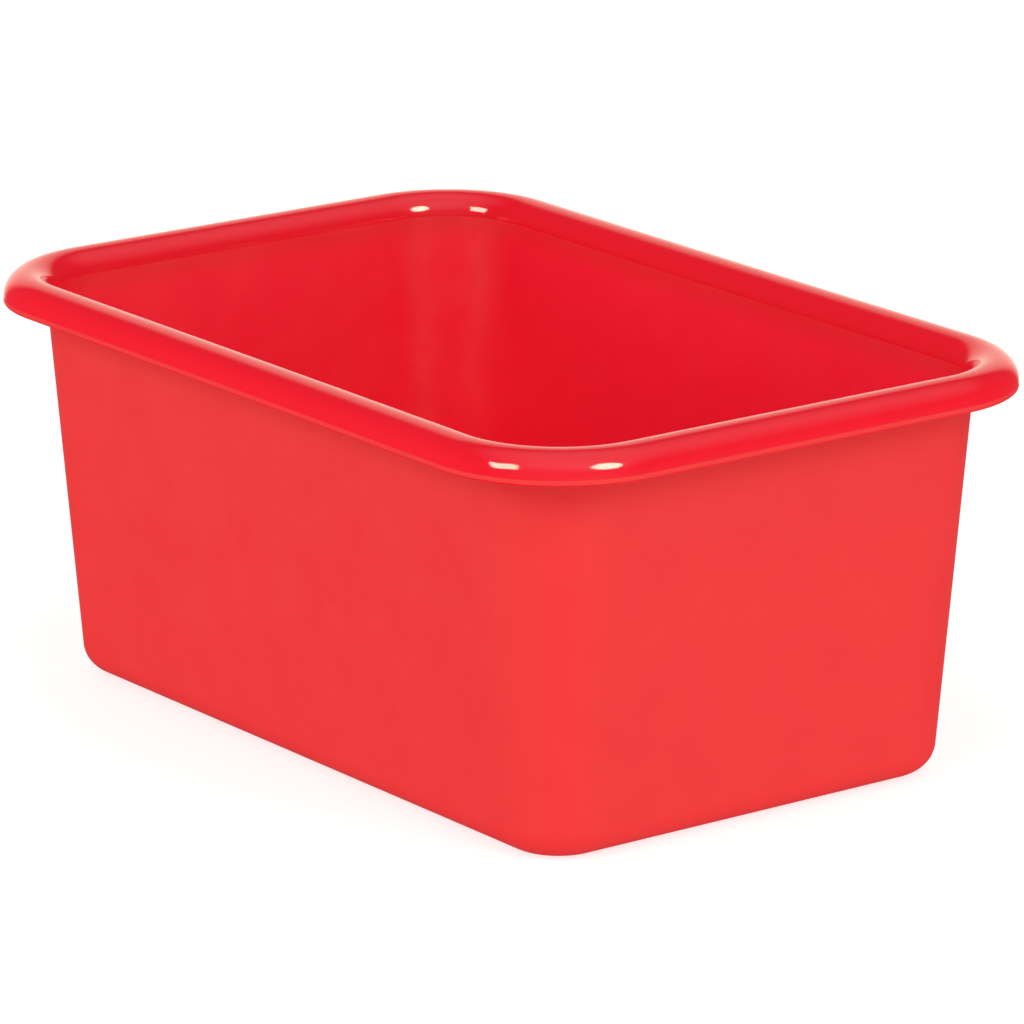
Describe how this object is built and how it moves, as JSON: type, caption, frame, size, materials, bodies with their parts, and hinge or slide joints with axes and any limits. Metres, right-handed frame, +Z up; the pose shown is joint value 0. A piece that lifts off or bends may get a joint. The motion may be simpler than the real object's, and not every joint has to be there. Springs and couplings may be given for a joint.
{
  "type": "storage bin",
  "caption": "Open rectangular plastic storage bin with drafted walls, rounded corners, a flat base and a rolled rim that is hollow underneath.",
  "frame": {"origin": "middle of the footprint, on the surface that the bin stands on", "axes": "+X along the length, +Y across the width, +Z up out of the open top"},
  "size_m": [0.29, 0.196, 0.125],
  "materials": {
    "plastic": "moulded red polypropylene: glossy rim, semi-gloss inside, satin outer walls"
  },
  "bodies": {
    "root": {"bin": "plastic"}
  },
  "joints": []
}
